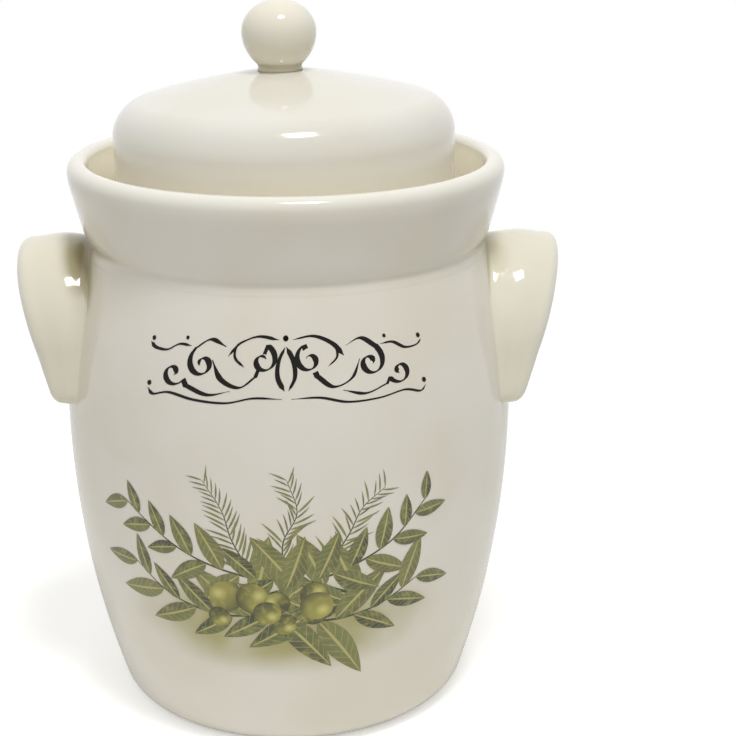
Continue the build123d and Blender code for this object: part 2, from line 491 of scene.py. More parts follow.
def root_glaze(side, away, height, upward):
    """Glaze gathers at the wall with painted shade in the corner, a painted highlight lies on the ridge
    beside it, and the ear is brown by its crown, partly glaze that gathers and partly painted shade.
    """
    corner = 0.6 * hump(away, 0.2, 1.2)
    # Painted highlight: a pale line on the ridge beside the wall, where the glaze would catch the light
    ridge = hump(away, 1.5, 0.7) * (1 - max(0.0, -upward))
    # Brown by the crown: partly glaze that gathers, partly painted shade, much weaker at the right ear
    brown = ear_brown_depth * hump(away, 0, ear_brown_reach) * rising(height, ear_brown_from, ear_brown_blend)
    brown *= 1.0 if side < 0 else right_ear_brown_share
    return corner + brown - ear_thin_glaze_and_sheen * ridge * max(0.0, 1 - brown)


def ear(name, side, crown_reach, droop, bulge, swell, swell_place, dip, stretch):
    """A strip bent to a horseshoe, luted on and smoothed to the wall. Side is 1 at the right, -1 at the left.

    Its face reaches out to crown_reach at the top, droops there and bulges halfway down. Its side swells and,
    near the wall, dips. Stretch draws it downwards.
    """
    collar_line = collar_outline()
    collar_side = collar_line[: int(np.argmax(collar_line[:, 1]))]
    wall_line = np.vstack((barrel_line, collar_side[collar_side[:, 1] > ledge + HAIR]))
    # How far out from the wall, and then in from the face's edge, the rows of points lie
    rooted = np.array((-1.0, 0.05, 0.35, 0.8, 1.4, 2.2, ear_root_fillet))
    inward = np.array((0, 0.25, 0.8, 1.6, 2.6, 3.8, 5.0, ear_half))
    side_steps = np.linspace(0, 1, 17)[1:]

    def reach(z):
        t = (z - ear_foot) / (ear_top - ear_foot)
        fall = droop * (max(0.0, t - ear_droop_share) / (1 - ear_droop_share)) ** 2
        return ear_toe_reach + (crown_reach - ear_toe_reach) * t + bulge * 4 * t * (1 - t) - fall

    def wall_at(y, z):
        return math.sqrt(max(0.0, np.interp(z, wall_line[:, 1], wall_line[:, 0]) ** 2 - y * y))

    verts, pool = [], []
    for (y, z), way in ear_loop():
        middle = np.array((y, ear_top - (ear_top - z) * stretch))
        edge_point = middle + way * ear_half
        face_round = ear_face_round - toe_sharper * rising(-middle[1], -toe_sharper_below, toe_sharper_blend)
        edge = reach(edge_point[1]) - face_round
        base = wall_at(*edge_point)
        rows = [(wall_at(*middle) - ear_root_bite, *middle, 0.0)]
        side_length = max(ear_side_least, edge - base - ear_side_start - HAIR)
        for d in np.concatenate((rooted, side_steps * side_length + ear_side_start)):
            near = min(max(0.0, d), ear_root_fillet)
            fillet = ear_root_fillet - math.sqrt(ear_root_fillet**2 - (ear_root_fillet - near) ** 2)
            fillet *= 1 - ear_root_thinner_share * abs(way[1])
            x = min(base + d, edge)
            share = rising(x, base, max(1.0, edge - base))
            domed = swell * math.sin(math.pi * share**swell_place) ** 2 - dip * (1 - share) ** 2
            domed *= min(1.0, (edge - base) / ear_full_dome)
            out = middle + way * (ear_half + ear_draft_share * (edge - x) + fillet + domed)
            rows.append((min(wall_at(*out) + d, edge), *out, root_glaze(side, d, out[1], way[1])))
        for e in inward:
            point = middle + way * (ear_half - e)
            near = min(e, face_round)
            rounding = math.sqrt(face_round**2 - (face_round - near) ** 2)
            thin = -ear_thin_glaze_and_sheen * hump(e, 1.6, 2)
            rows.append((reach(point[1]) - face_round + rounding, *point, thin))
        verts.append([(side * x, y, z) for x, y, z, _ in rows])
        pool.append([row[3] for row in rows])
    count, depth = len(verts), len(verts[0])
    index = np.arange(count * depth).reshape(count, depth)
    faces = []
    for i in range(count):
        a, b = index[i].tolist(), index[(i + 1) % count].tolist()
        faces += [(a[k], b[k], b[k + 1], a[k + 1]) for k in range(depth - 1)]
    return mesh_piece(name, np.vstack(verts), faces, glaze_pool=np.array(pool).ravel())


# Materials


def linear(code):
    """The linear colour of an sRGB hex code."""
    parts = [int(code[i : i + 2], 16) / 255 for i in (1, 3, 5)]
    return tuple(p / 12.92 if p <= 0.04045 else ((p + 0.055) / 1.055) ** 2.4 for p in parts) + (1.0,)


def add_node(tree, kind, values=None, **settings):
    """A node with its settings and inputs. An input is a value, an output or a node with one live output."""
    made = tree.nodes.new(kind)
    for key, value in settings.items():
        setattr(made, key, value)
    for key, value in (values or {}).items():
        if isinstance(value, bpy.types.Node):
            value = next(output for output in value.outputs if output.enabled)
        if isinstance(value, bpy.types.NodeSocket):
            tree.links.new(value, made.inputs[key])
        else:
            made.inputs[key].default_value = value
    return made


SMOOTH = {"interpolation_type": "SMOOTHSTEP"}
# The wash under the spray: its middle and reach in millimetres
wash_middle = (-9.2, -91.7, 68.75)
wash_reach = (77.0, 41.7, 25.0)
wash_grain = 30.0
wash_strength = 0.95


def new_material(name):
    """A material and its empty tree, with the place on the object that its patterns read."""
    material = bpy.data.materials.new(name)
    material.use_nodes = True
    tree = material.node_tree
    tree.nodes.clear()
    return material, tree, add_node(tree, "ShaderNodeTexCoord").outputs["Object"]


def add_surface(tree, values):
    """The surface at the end of a material's tree."""
    surface = add_node(tree, "ShaderNodeBsdfPrincipled", values)
    add_node(tree, "ShaderNodeOutputMaterial", {"Surface": surface})


def tinted(tree, colour, value, low, high, tint):
    """The colour turns into the tint, smoothly, as value goes from low to high."""
    ranges = {"Value": value, "From Min": low, "From Max": high}
    share = add_node(tree, "ShaderNodeMapRange", ranges, **SMOOTH)
    return add_node(tree, "ShaderNodeMix", {0: share, 6: colour, 7: linear(tint)}, data_type="RGBA")


def mottled(tree, colour, place, size_mm, low, high, tint, detail=2.0):
    """Soft blotches of that real size, in the tint."""
    scale = 1 / (size_mm * MM)
    noise = add_node(tree, "ShaderNodeTexNoise", {"Vector": place, "Scale": scale, "Detail": detail})
    return tinted(tree, colour, noise.outputs["Fac"], low, high, tint)


def uneven(tree, place, size_mm, depth_mm, under=None):
    """Hills and hollows of that real size and depth, on top of those under them."""
    noise = add_node(tree, "ShaderNodeTexNoise", {"Vector": place, "Scale": 1 / (size_mm * MM)})
    values = {"Height": noise.outputs["Fac"], "Distance": depth_mm * MM, "Strength": 1.0}
    if under is not None:
        values["Normal"] = under
    return add_node(tree, "ShaderNodeBump", values)


def ground_wash(tree, place, colour):
    """The printed ground shadow under the spray, a soft wash in the ink's own green."""
    scale = [1 / (reach * MM) for reach in wash_reach]
    shift = [-middle * MM * s for middle, s in zip(wash_middle, scale)]
    spot = add_node(tree, "ShaderNodeMapping", {"Vector": place, "Location": shift, "Scale": scale})
    far = add_node(tree, "ShaderNodeVectorMath", {0: spot}, operation="LENGTH")
    mask = add_node(tree, "ShaderNodeMapRange", {"Value": far, "From Min": 1.15, "From Max": 0.4}, **SMOOTH)
    noise = add_node(tree, "ShaderNodeTexNoise", {"Vector": place, "Scale": 1 / (wash_grain * MM)})
    ranges = {"Value": noise.outputs["Fac"], "From Min": -0.1, "From Max": 0.7, "To Max": wash_strength}
    grain = add_node(tree, "ShaderNodeMapRange", ranges, **SMOOTH)
    share = add_node(tree, "ShaderNodeMath", {0: mask, 1: grain}, operation="MULTIPLY")
    return add_node(tree, "ShaderNodeMix", {0: share, 6: colour, 7: linear("#A9A05E")}, data_type="RGBA")


def glaze(name, cream, shade, washed=False):
    """A clear glaze over cream slip, dipped and fired: a wet gloss, thin on edges, darker in corners partly
    by painted shade, and paler by painted fill light in shaded places.
    """
    material, tree, place = new_material(name)
    gathered_and_shade = add_node(tree, "ShaderNodeAttribute", attribute_name="glaze_pool").outputs["Fac"]
    coat = add_node(tree, "ShaderNodeAttribute", attribute_name="glaze_coat").outputs["Fac"]
    colour = mottled(tree, linear(cream), place, 60, 0.35, 0.65, shade)
    # Painted fill light: the colour is paler and warmer where the channel, the lid's skirt and the knob lie
    # in shade
    colour = add_node(tree, "ShaderNodeMix", {0: coat, 6: colour, 7: linear("#FDF7E6")}, data_type="RGBA")
    if washed:
        colour = ground_wash(tree, place, colour)
    # Hollows are greenish and then brown, partly glaze that gathers and partly painted shade, and a thin edge
    # is pale
    colour = tinted(tree, colour, gathered_and_shade, 0.15, 1.6, "#B7AD8A")
    colour = tinted(tree, colour, gathered_and_shade, 1.6, 3.2, "#8F8258")
    colour = tinted(tree, colour, gathered_and_shade, -0.25, -1.4, "#EEEBE0")
    ripple = uneven(tree, place, 12, 0.06, under=uneven(tree, place, 50, 0.2))
    add_surface(tree, {"Base Color": colour, "Roughness": 0.1, "IOR": 1.6, "Normal": ripple})
    return material


def stoneware(name):
    """Fired clay without glaze, on the foot ring and the weighting stones: sanded, dry, slightly speckled."""
    material, tree, place = new_material(name)
    colour = mottled(tree, linear("#C9B999"), place, 18, 0.3, 0.7, "#B8A581")
    colour = mottled(tree, colour, place, 1.2, 0.68, 0.76, "#7A684B", detail=0.0)
    add_surface(tree, {"Base Color": colour, "Roughness": 0.75, "Normal": uneven(tree, place, 0.8, 0.1)})
    return material


def black_ink(name):
    """Decal ink fired on the glaze, less glossy than the glaze."""
    material, tree, _ = new_material(name)
    add_surface(tree, {"Base Color": linear("#14120D"), "Roughness": 0.25, "Specular IOR Level": 0.2})
    return material


def vein_lines(tree, along, across):
    """A leaf's middle rib, and fainter veins that slant off it."""
    offset = add_node(tree, "ShaderNodeMath", {0: across, 1: 0.5}, operation="SUBTRACT")
    aside = add_node(tree, "ShaderNodeMath", {0: offset}, operation="ABSOLUTE")
    ranges = {"Value": aside, "From Min": 0.075, "From Max": 0.03}
    rib = add_node(tree, "ShaderNodeMapRange", ranges, **SMOOTH)
    slant = add_node(tree, "ShaderNodeMath", {0: aside, 1: 0.35, 2: along}, operation="MULTIPLY_ADD")
    wave = add_node(tree, "ShaderNodeMath", {0: slant, 1: -50.0}, operation="MULTIPLY")
    sine = add_node(tree, "ShaderNodeMath", {0: wave}, operation="SINE")
    ranges = {"Value": sine, "From Min": 0.86, "From Max": 0.98, "To Max": 0.45}
    side_vein = add_node(tree, "ShaderNodeMapRange", ranges, **SMOOTH)
    return add_node(tree, "ShaderNodeMath", {0: rib, 1: side_vein}, operation="MAXIMUM")


def leaf_ink(name, dark, middle, light, veins=False):
    """Ceramic ink under the glaze, shaded across a leaf or fruit by its UV, and as glossy as the glaze."""
    material, tree, place = new_material(name)
    uv = add_node(tree, "ShaderNodeUVMap", uv_map="UVMap")
    tone = add_node(tree, "ShaderNodeAttribute", attribute_name="tone").outputs["Fac"]
    split = add_node(tree, "ShaderNodeSeparateXYZ", {"Vector": uv}).outputs
    colour = tinted(tree, linear(dark), split["Y"], 0.15, 0.85, middle)
    colour = mottled(tree, colour, place, 3.5, 0.42, 0.75, light)
    colour = tinted(tree, colour, tone, 0.1, 1.5, light)
    if veins:
        lines = {0: vein_lines(tree, split["X"], split["Y"]), 6: colour, 7: linear("#BDB574")}
        colour = add_node(tree, "ShaderNodeMix", lines, data_type="RGBA")
    else:
        # Fruits are shaded as balls, light at the upper left and dark at the lower right
        far = add_node(tree, "ShaderNodeVectorMath", {0: uv, 1: (0.34, 0.68, 0.0)}, operation="DISTANCE")
        colour = tinted(tree, colour, far, 0.28, 0.0, "#CFC77A")
        colour = tinted(tree, colour, far, 0.35, 0.8, dark)
    add_surface(tree, {"Base Color": colour, "Roughness": 0.1})
    return material


cream_glaze = glaze("clear_glaze_on_cream_slip", "#E8E3D0", "#E3DDC9")
# The lid's glaze is cooler than the body's, a painted reflection of the white surroundings on its top
lid_glaze = glaze("clear_glaze_cooled_as_painted_reflection", "#E5E2D8", "#E2DED0")
body_glaze = glaze("clear_glaze_on_cream_slip_printed", "#E9E4D8", "#E4DECD", washed=True)
bare_clay = stoneware("bare_stoneware_sanded")
scroll_ink = black_ink("onglaze_black_decal")
leaf_green = leaf_ink("underglaze_leaf_green", "#4A4E3A", "#6C7247", "#8C8D55", veins=True)
fruit_green = leaf_ink("underglaze_fruit_green", "#55563A", "#8F8C4C", "#B0A857")
stem_green = leaf_ink("underglaze_stem_green", "#4C5138", "#5D6340", "#747848")


def finish_piece(piece, body, *nodes, material=None, slot="cream_glaze"):
    """Gives the piece its material and the body that it moves with. Slot is not used."""
    if material is not None:
        piece.data.materials.clear()
        piece.data.materials.append(material)
    if nodes:
        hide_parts(*nodes)
    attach(piece, body)


# The glazed pieces

def channel_painted_light(points):
    """Painted fill light is full on the channel's wall and ends on the lip's crest."""
    inside = np.arange(len(points)) > np.argmax(points[:, 1])
    return inside * np.clip((collar_radius - lip_outer_round - points[:, 0]) / lip_light_blend, 0, 1)


def skirt_painted_light(points):
    """Painted fill light is weaker on the lid's skirt and ends on its shoulder."""
    below = skirt_top + shoulder_light_rise - points[:, 1]
    return skirt_light_share * np.clip(below / shoulder_light_blend, 0, 1)


def knob_painted_light(points):
    """Painted fill light is weak all over the knob."""
    return np.full(len(points), knob_light_share)


def brown_and_shade_by_ear(piece):
    """Brown on the wall beside the left ear's crown, partly glaze that gathers and partly painted shade."""
    for v, pool in zip(piece.data.vertices, piece.data.attributes["glaze_pool"].data):
        x, y, z = v.co / MM
        away = math.hypot(y, z - ear_bend_height) - ear_leg_place - ear_half
        if x < 0 and brown_inside < away < brown_outside and z > brown_from:
            pool.value += brown_depth * hump(away, 0, brown_reach) * rising(z, brown_from, brown_blend)


def bare_foot(piece):
    """The foot ring is wiped clean of glaze where it stands."""
    piece.data.materials.append(body_glaze)
    piece.data.materials.append(bare_clay)
    for polygon in piece.data.polygons:
        if polygon.center.z < bare_foot_height * MM:
            polygon.material_index = 1


crock = turned("crock_glazed", jar_outline(), thrown=True, longest=CROCK_LONGEST_STEP)
bare_foot(crock)
finish_piece(crock, "crock", "jar_base", "jar_body", "throat_ring")

collar = turned(
    "collar_glazed",
    collar_outline(),
    closed=True,
    thrown=True,
    gather_and_shade=collar_pool_and_shade_share,
    thick=channel_painted_light,
)
finish_piece(collar, "crock", "channel_collar", material=body_glaze)
brown_and_shade_by_ear(crock)
brown_and_shade_by_ear(collar)

lid = turned("lid_glazed", lid_outline()[::-1], thick=skirt_painted_light)
cut(lid, vent_tool())
lean(lid, lid_lean, ledge, skirt_top)
finish_piece(lid, "cover", "lid", material=lid_glaze)

knob = turned("knob_glazed", knob_outline(), thick=knob_painted_light, seam=knob_seat)
lean(knob, lid_lean, ledge, skirt_top, aside=knob_aside)
finish_piece(knob, "cover", "lid_knob", material=cream_glaze)

# Each ear's side, crown reach, droop, bulge, swell, swell place, dip and stretch. As hand work they differ.
for end, *form in (
    ("right", 1, ear_reach + 0.3, -1.2, 0.9, 0.9, 1.3, 2.3, 1.045),
    ("left", -1, ear_reach - 0.3, 1.4, 0.4, 1.05, 1.0, 1.5, 1.0),
):
    finish_piece(ear(f"ear_{end}_glazed", *form), "crock", f"handle_{end}", material=cream_glaze)

for name in ("weight_half_left", "weight_half_right"):
    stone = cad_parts[name]
    stone.data.materials.clear()
    stone.data.materials.append(bare_clay)


# The print on the front: a pen flourish above, and a leafy spray below. Its inks lie in thin layers.
print_wrap_radius = 102.0
ink_proud = 0.05
stroke_layer = 0.006
dot_proud = 0.17
spray_layer = 0.012
scroll_middle = -1.6
scroll_height = 189.0
scroll_half_width = 63.0
scroll_sag = 5.3
nib_slant = 25.0
pen_weight = 1.2
hair_line = 0.6
DOT_SIDES = 28
FRUIT_SIDES = 36


def on_barrel(flat, proud):
    """Points drawn flat, in millimetres from the front's middle line, laid that far proud of the barrel."""
    angle = -math.pi / 2 + flat[:, 0] / print_wrap_radius
    r = np.interp(flat[:, 1], barrel_line[:, 1], barrel_line[:, 0]) * stray_at(angle) + proud
    return np.stack((r * np.cos(angle), r * np.sin(angle), flat[:, 1]), 1)


def smooth_line(points, steps=14):
    """A curve through the points."""
    p = np.array(points, float)
    p = np.vstack((2 * p[0] - p[1], p, 2 * p[-1] - p[-2]))
    t = np.linspace(0, 1, steps, endpoint=False)[:, None]
    parts = []
    for a, b, c, d in zip(p[:-3], p[1:-2], p[2:-1], p[3:]):
        bend, twist = 2 * a - 5 * b + 4 * c - d, 3 * b - a - 3 * c + d
        parts.append(b + ((c - a) * t + bend * t**2 + twist * t**3) / 2)
    return np.vstack((*parts, p[-2:-1]))


def curl(centre, first, last, start, turns, steps=60):
    """A spiral about centre, from the first radius to the last. Start and turns are in degrees."""
    t = np.linspace(0, 1, steps)
    angle = np.radians(start + turns * t)
    radius = first * (last / first) ** t
    return np.stack((centre[0] + radius * np.cos(angle), centre[1] + radius * np.sin(angle)), 1)


def heading_of(points):
    """Which way a line runs at each of its points."""
    step = np.gradient(points, axis=0)
    return np.arctan2(step[:, 1], step[:, 0])


def ribbon(points, width):
    """The two edges of a flat line of that width."""
    heading = heading_of(points)
    side = np.stack((-np.sin(heading), np.cos(heading)), 1) * width[:, None] / 2
    return np.vstack((points + side, points - side))


def ribbon_faces(start, count):
    """The faces between a ribbon's edges, which have that many points each."""
    return [(start + i, start + i + 1, start + count + i + 1, start + count + i) for i in range(count - 1)]


def pen_stroke(points, thick):
    """A broad nib's stroke: wide across the nib's edge, thin along it, and drawn out at both ends."""
    run = np.linspace(0, 1, len(points))
    across = np.abs(np.sin(heading_of(points) - math.radians(nib_slant))) ** 1.6
    width = hair_line + (pen_weight * thick - hair_line) * across
    return ribbon(points, width * np.clip(np.minimum(run, 1 - run) * 9, 0.22, 1))


def ball_end(centre, radius):
    """A round pen dot."""
    angle = np.linspace(0, 2 * math.pi, DOT_SIDES, endpoint=False)
    return np.vstack((centre, centre + radius * np.stack((np.cos(angle), np.sin(angle)), 1)))


def scroll_half():
    """The strokes and dots of the right half of the flourish, from its middle outwards."""
    rise = smooth_line([(13, -3), (20, -7.5), (28, -4), (32, 4)])
    rise = np.vstack((curl((10, 3.5), 1.6, 6.6, 150, -400), rise))
    crest = np.vstack((smooth_line([(26, 9.5), (33, 12.5), (40, 9)]), curl((36.5, 2.5), 6.8, 1.5, 45, -430)))
    tail = smooth_line([(24, -9), (34, -10.5), (44, -6.5)])
    tail = np.vstack((tail, curl((50.5, -1), 6.2, 1.2, -150, 400)))
    under = smooth_line([(2, -12.5), (14, -12), (26, -14), (40, -12.6), (52, -9.5), (60, -10.2), (63, -7.5)])
    over = smooth_line([(3, 12), (12, 13.4), (20, 10.5), (25, 5.5)])
    sprout = smooth_line([(42, 10), (48, 10.8), (54, 8.6), (60, 9.6), (63, 12)])
    drop = smooth_line([(0.9, -9), (3.6, -3.5), (3.2, 3), (0.3, 9)])
    hair = smooth_line([(18, 1), (22, 5), (21, 10), (16, 12.6)])
    strokes = [(rise, 2.1), (crest, 2.3), (tail, 2.2), (under, 1.5)]
    strokes += [(over, 1.9), (sprout, 1.6), (drop, 1.8), (hair, 1.0)]
    dots = [((62.2, -5.4), 1.1), ((61.6, 13.6), 1.0), ((44.2, 13.4), 0.8), ((0.0, 12.6), 1.2)]
    return strokes, dots


def scroll_skin(flat, proud):
    """The flourish sags towards both ends as it lies on the barrel."""
    aside, rise = flat[:, 0], flat[:, 1]
    height = rise + scroll_height - scroll_sag * (aside / scroll_half_width) ** 2
    return on_barrel(np.stack((aside + scroll_middle, height), 1), proud)


def face_outwards(mesh):
    """Turns round each face that looks towards the axis."""
    bm = bmesh.new()
    bm.from_mesh(mesh)
    bm.normal_update()
    inward = [f for f in bm.faces if f.normal.xy.dot(f.calc_center_median().xy) < 0]
    bmesh.ops.reverse_faces(bm, faces=inward)
    bm.to_mesh(mesh)
    bm.free()
    mesh.shade_smooth()


def print_mesh(name, verts, faces):
    """A printed skin whose faces all look away from the jar's axis."""
    mesh = bpy.data.meshes.new(name)
    mesh.from_pydata((verts * MM).tolist(), [], faces)
    face_outwards(mesh)
    return linked(name, mesh)


def scroll_piece():
    """The whole flourish as one printed skin. The nib's slant stays, so its halves aren't quite alike."""
    verts, faces, start = [], [], 0
    strokes, dots = scroll_half()
    for turn, flip in enumerate((1, -1)):
        for place, (points, thick) in enumerate(strokes, 1):
            proud = ink_proud + stroke_layer * (turn * len(strokes) + place)
            verts.append(scroll_skin(pen_stroke(points * (flip, 1), thick), proud))
            faces += ribbon_faces(start, len(points))
            start += 2 * len(points)
        for centre, radius in dots:
            verts.append(scroll_skin(ball_end(np.array(centre) * (flip, 1), radius), dot_proud))
            faces += [(start, start + 1 + i, start + 1 + (i + 1) % DOT_SIDES) for i in range(DOT_SIDES)]
            start += 1 + DOT_SIDES
    return print_mesh("printed_scroll", np.vstack(verts), faces)


finish_piece(scroll_piece(), "crock", material=scroll_ink)


# The spray


def leaf_form(name, length, width, folded):
    """A flat leaf along +X, from its stalk, with a UV that runs along and across it. All in metres."""
    rows, columns = 15, 7
    verts, uvs = [], []
    for i in range(rows):
        t = i / (rows - 1)
        half = width / 2 * math.sin(math.pi * t**0.8) ** 0.9
        bend = folded * length * t * t
        for j in range(columns):
            s = 2 * j / (columns - 1) - 1
            verts.append((length * t, bend + half * s, 0))
            uvs.append((t, (s + 1) / 2))
    faces = []
    for i in range(rows - 1):
        for j in range(columns - 1):
            a = i * columns + j
            faces.append((a, a + columns, a + columns + 1, a + 1))
    return flat_form(name, verts, faces, uvs)


def fruit_form(name, radius):
    """A round fruit seen from the front, with its UV across it. In metres."""
    verts, uvs = [(0, 0, 0)], [(0.5, 0.5)]
    for share in (0.25, 0.5, 0.75, 1.0):
        for i in range(FRUIT_SIDES):
            a = 2 * math.pi * i / FRUIT_SIDES
            squash = 1 - 0.07 * math.sin(a) ** 2
            verts.append((share * radius * math.cos(a), share * radius * squash * math.sin(a), 0))
            uvs.append((0.5 + 0.5 * share * math.cos(a), 0.5 + 0.5 * share * math.sin(a)))
    following = [(i + 1) % FRUIT_SIDES for i in range(FRUIT_SIDES)]
    faces = [(0, 1 + i, 1 + j) for i, j in enumerate(following)]
    for a in range(1, len(verts) - FRUIT_SIDES, FRUIT_SIDES):
        b = a + FRUIT_SIDES
        faces += [(a + i, b + i, b + j, a + j) for i, j in enumerate(following)]
    return flat_form(name, verts, faces, uvs)


def flat_form(name, verts, faces, uvs):
    """A leaf or fruit that the spray repeats. It isn't in the scene itself."""
    mesh = bpy.data.meshes.new(name)
    mesh.from_pydata(verts, [], faces)
    layer = mesh.uv_layers.new(name="UVMap")
    for loop in mesh.loops:
        layer.data[loop.index].uv = uvs[loop.vertex_index]
    return bpy.data.objects.new(name, mesh)


def branch_tree():
    """Nodes that set leaves along a stem, left and right in turn, smaller to the tip, each in its tone."""
    tree = bpy.data.node_groups.new("leafy_branch", "GeometryNodeTree")
    face = tree.interface
    face.new_socket("Geometry", in_out="INPUT", socket_type="NodeSocketGeometry")
    for label, kind, value in (
        ("Leaf", "NodeSocketObject", None),
        ("Ink", "NodeSocketMaterial", None),
        ("Leaves", "NodeSocketInt", 12),
        ("Spread", "NodeSocketFloat", 0.8),
        ("Tip Size", "NodeSocketFloat", 0.5),
        ("Seed", "NodeSocketInt", 1),
    ):
        socket = face.new_socket(label, in_out="INPUT", socket_type=kind)
        if value is not None:
            socket.default_value = value
    face.new_socket("Geometry", in_out="OUTPUT", socket_type="NodeSocketGeometry")
    given = add_node(tree, "NodeGroupInput").outputs
    stem = add_node(tree, "GeometryNodeMeshToCurve", {"Mesh": given["Geometry"]})
    spacing = {"Curve": stem, "Count": given["Leaves"]}
    sites = add_node(tree, "GeometryNodeCurveToPoints", spacing, mode="COUNT").outputs
    index = add_node(tree, "GeometryNodeInputIndex")
    odd = add_node(tree, "ShaderNodeMath", {0: index, 1: 2.0}, operation="MODULO")
    turn = add_node(tree, "ShaderNodeMapRange", {"Value": odd, "To Min": -1.0, "To Max": 1.0})
    chance = {"ID": index, "Seed": given["Seed"]}
    stray = add_node(tree, "FunctionNodeRandomValue", {2: 0.8, 3: 1.2, **chance}, data_type="FLOAT")
    lean_by = add_node(tree, "ShaderNodeMath", {0: turn, 1: given["Spread"]}, operation="MULTIPLY")
    angle = add_node(tree, "ShaderNodeMath", {0: lean_by, 1: stray}, operation="MULTIPLY")
    spin = add_node(tree, "ShaderNodeCombineXYZ", {"Z": angle})
    heading = {"Vector": sites["Tangent"]}
    along = add_node(tree, "FunctionNodeAlignRotationToVector", heading, axis="X", pivot_axis="Z")
    turned_by = {"Rotation": along, "Rotate By": spin}
    set_by = add_node(tree, "FunctionNodeRotateRotation", turned_by, rotation_space="LOCAL")
    last = add_node(tree, "ShaderNodeMath", {0: given["Leaves"], 1: 1.0}, operation="SUBTRACT")
    share = add_node(tree, "ShaderNodeMath", {0: index, 1: last}, operation="DIVIDE")
    taper = add_node(tree, "ShaderNodeMapRange", {"Value": share, "To Min": 1.0, "To Max": given["Tip Size"]})
    size = add_node(tree, "ShaderNodeMath", {0: taper, 1: stray}, operation="MULTIPLY")
    leaf = add_node(tree, "GeometryNodeObjectInfo", {"Object": given["Leaf"]}).outputs["Geometry"]
    growth = {"Points": sites["Points"], "Instance": leaf, "Rotation": set_by, "Scale": size}
    placed = add_node(tree, "GeometryNodeInstanceOnPoints", growth)
    tone = add_node(tree, "FunctionNodeRandomValue", {2: 0.0, 3: 1.0, **chance}, data_type="FLOAT")
    named = {"Geometry": placed, "Name": "tone", "Value": tone}
    marked = add_node(tree, "GeometryNodeStoreNamedAttribute", named, data_type="FLOAT", domain="INSTANCE")
    # Each leaf lies 0.01 mm over the one before it
    step = add_node(tree, "ShaderNodeMath", {0: index, 1: 0.01 * MM}, operation="MULTIPLY")
    lift = add_node(tree, "ShaderNodeCombineXYZ", {"Z": step})
    raised = {"Instances": marked, "Translation": lift, "Local Space": False}
    layered = add_node(tree, "GeometryNodeTranslateInstances", raised)
    real = add_node(tree, "GeometryNodeRealizeInstances", {"Geometry": layered})
    inked = add_node(tree, "GeometryNodeSetMaterial", {"Geometry": real, "Material": given["Ink"]})
    add_node(tree, "NodeGroupOutput", {0: inked})
    return tree


leafy_branch = branch_tree()


def branch(name, stem, leaf, ink, leaves, spread, tip_size, seed, layer, overlap=1.0):
    """Leaves along a stem drawn flat in millimetres, laid on the barrel. Layer is their place in the print.

    Overlap is the share of each leaf's lift over the one before it that is kept.
    """
    points = smooth_line(stem)
    mesh = bpy.data.meshes.new(name)
    edges = [(i, i + 1) for i in range(len(points) - 1)]
    mesh.from_pydata([(x * MM, y * MM, 0) for x, y in points], edges, [])
    source = linked(name, mesh)
    change = source.modifiers.new("leaves", "NODES")
    change.node_group = leafy_branch
    given = {"Leaf": leaf, "Ink": ink, "Leaves": leaves, "Spread": spread, "Tip Size": tip_size, "Seed": seed}
    sockets = {s.name: s.identifier for s in leafy_branch.interface.items_tree if s.in_out == "INPUT"}
    for label, value in given.items():
        change[sockets[label]] = value
    bpy.context.view_layer.update()
    made = bpy.data.meshes.new_from_object(source.evaluated_get(bpy.context.evaluated_depsgraph_get()))
    source.modifiers.clear()
    source.data = made
    flat = np.array([v.co[:] for v in made.vertices]) / MM
    placed = on_barrel(flat[:, :2], ink_proud + spray_layer * layer + overlap * flat[:, 2])
    made.vertices.foreach_set("co", (placed * MM).ravel())
    face_outwards(made)
    finish_piece(source, "crock")


def stem_piece(name, lines):
    """The bare stems of the spray, drawn with a tapering line."""
    verts, faces, start = [], [], 0
    for stem, thick in lines:
        points = smooth_line(stem)
        count = len(points)
        verts.append(on_barrel(ribbon(points, np.linspace(thick, 0.3 * thick, count)), ink_proud))
        faces += ribbon_faces(start, count)
        start += 2 * count
    finish_piece(print_mesh(name, np.vstack(verts), faces), "crock", material=stem_green)


broad_leaf = leaf_form("broad_leaf", 0.027, 0.0105, 0.06)
long_leaf = leaf_form("long_leaf", 0.036, 0.0125, -0.05)
needle = leaf_form("needle", 0.013, 0.0011, 0.12)
berry = fruit_form("berry", 0.0072)

stem_left = [(28, 84), (6, 92), (-22, 95), (-50, 104), (-78, 121)]
stem_right = [(-24, 82), (0, 90), (22, 97), (44, 108), (60, 124)]
stem_low_left = [(16, 76), (-10, 76), (-34, 74), (-58, 80), (-76, 92)]
stem_low_right = [(-6, 74), (16, 72), (38, 76), (58, 86)]
sprig_one = [(-18, 96), (-26, 112), (-30, 126), (-38, 139)]
sprig_two = [(-4, 96), (-4, 112), (2, 126), (-2, 141)]
sprig_three = [(14, 98), (24, 114), (30, 126), (40, 134)]

stems = [(stem_left, 1.5), (stem_right, 1.5), (stem_low_left, 1.4), (stem_low_right, 1.4)]
stems += [(sprig_one, 0.7), (sprig_two, 0.7), (sprig_three, 0.7)]
stem_piece("printed_stems", stems)
